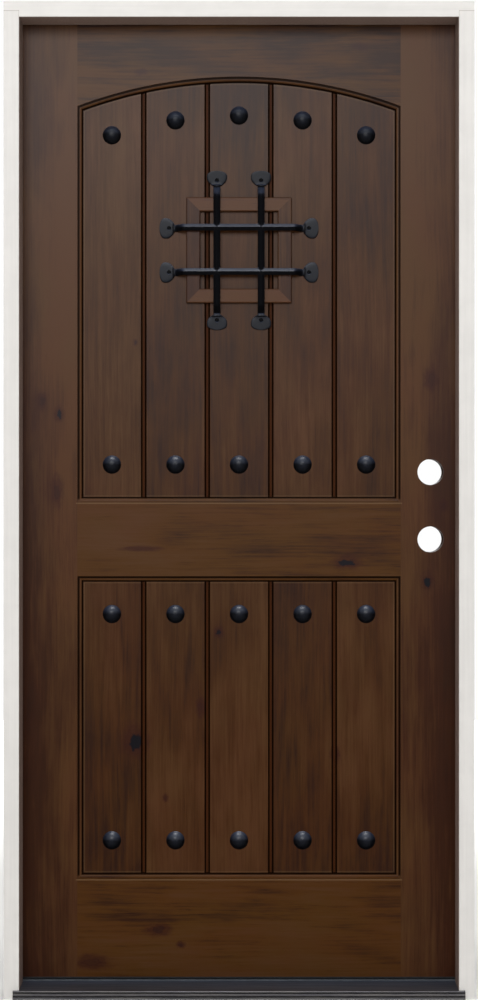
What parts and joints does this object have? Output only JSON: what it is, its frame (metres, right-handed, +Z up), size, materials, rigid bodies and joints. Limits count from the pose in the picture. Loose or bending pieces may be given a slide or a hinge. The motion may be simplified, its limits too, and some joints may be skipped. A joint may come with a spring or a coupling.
{
  "type": "prehung front door",
  "caption": "Inswing plank entry door with arched top panel, domed nails and a grilled speakeasy window, hung in its rabbeted frame with seals and sill.",
  "frame": {"origin": "middle of the sill's underside, half-way through the depth of the jambs", "axes": "+X to the right seen from outside, +Y towards the room, +Z up"},
  "size_m": [0.9588, 0.137, 2.032],
  "materials": {
    "stained_frame_wood": "dark satin stain",
    "stained_plank_wood": "dark satin stain",
    "raw_wood": "raw",
    "primed_wood": "white primer",
    "seal_vinyl": "soft vinyl skin",
    "black_vinyl": "soft vinyl",
    "bronze_extrusion": "dark anodised",
    "sill_composite": "moulded",
    "cap_composite": "dark moulded composite",
    "black_iron": "black powder coat",
    "hinge_bronze": "dark bronze plate",
    "zinc_steel": "zinc plated"
  },
  "bodies": {
    "frame": {"hinge_jamb": "primed_wood", "strike_jamb": "primed_wood", "head_jamb": "primed_wood", "hinge_side_seal": "seal_vinyl", "strike_side_seal": "seal_vinyl", "head_seal": "seal_vinyl", "sill_deck": "bronze_extrusion", "sill_substrate": "sill_composite", "frame_screws": "zinc_steel", "hinge_jamb_screws": "hinge_bronze", "top_hinge_jamb_leaf": "hinge_bronze", "middle_hinge_jamb_leaf": "hinge_bronze", "bottom_hinge_jamb_leaf": "hinge_bronze", "top_hinge_pin": "hinge_bronze", "middle_hinge_pin": "hinge_bronze", "bottom_hinge_pin": "hinge_bronze"},
    "threshold": {"threshold_cap": "cap_composite", "cap_adjusters": "zinc_steel"},
    "door_leaf": {"hinge_stile": "stained_frame_wood", "lock_stile": "stained_frame_wood", "top_rail": "stained_frame_wood", "lock_rail": "stained_frame_wood", "bottom_rail": "stained_frame_wood", "rail_dowels": "raw_wood", "door_sweep": "black_vinyl", "upper_plank_1": "stained_plank_wood", "upper_plank_2": "stained_plank_wood", "upper_plank_3_low": "stained_plank_wood", "upper_plank_3_high": "stained_plank_wood", "upper_plank_4": "stained_plank_wood", "upper_plank_5": "stained_plank_wood", "lower_plank_1": "stained_plank_wood", "lower_plank_2": "stained_plank_wood", "lower_plank_3": "stained_plank_wood", "lower_plank_4": "stained_plank_wood", "lower_plank_5": "stained_plank_wood", "upper_clavos": "black_iron", "lower_clavos": "black_iron", "window_trim_top": "stained_plank_wood", "window_trim_right": "stained_plank_wood", "window_trim_bottom": "stained_plank_wood", "window_trim_left": "stained_plank_wood", "window_grille": "black_iron", "grille_screws": "black_iron", "flap_hinge_pins": "black_iron", "bolt_keeper": "black_iron", "panel_hardware_screws": "black_iron", "hinge_door_screws": "hinge_bronze", "top_hinge_door_leaf": "hinge_bronze", "middle_hinge_door_leaf": "hinge_bronze", "bottom_hinge_door_leaf": "hinge_bronze", "upper_flap_hinge_fixed_leaf": "black_iron", "lower_flap_hinge_fixed_leaf": "black_iron"},
    "flap": {"speakeasy_flap": "stained_plank_wood", "bolt_housing": "black_iron", "flap_hardware_screws": "black_iron", "upper_flap_hinge_moving_leaf": "black_iron", "lower_flap_hinge_moving_leaf": "black_iron"},
    "bolt": {"slide_bolt": "black_iron"}
  },
  "joints": [
    {"name": "door_swing", "type": "hinge", "parent": "frame", "child": "door_leaf", "pos_m": [-0.4588, 0.0646, 1.0697], "axis": [0, 0, 1], "range_deg": [0, 170]},
    {"name": "flap_swing", "type": "hinge", "parent": "door_leaf", "child": "flap", "pos_m": [-0.0878, 0.05282, 1.53461], "axis": [0, 0, 1], "range_deg": [0, 110]},
    {"name": "bolt_slide", "type": "slide", "parent": "flap", "child": "bolt", "axis": [1, 0, 0], "range_m": [0, 0.014]},
    {"name": "cap_lift", "type": "slide", "parent": "frame", "child": "threshold", "axis": [0, 0, 1], "range_m": [-0.003, 0]}
  ]
}
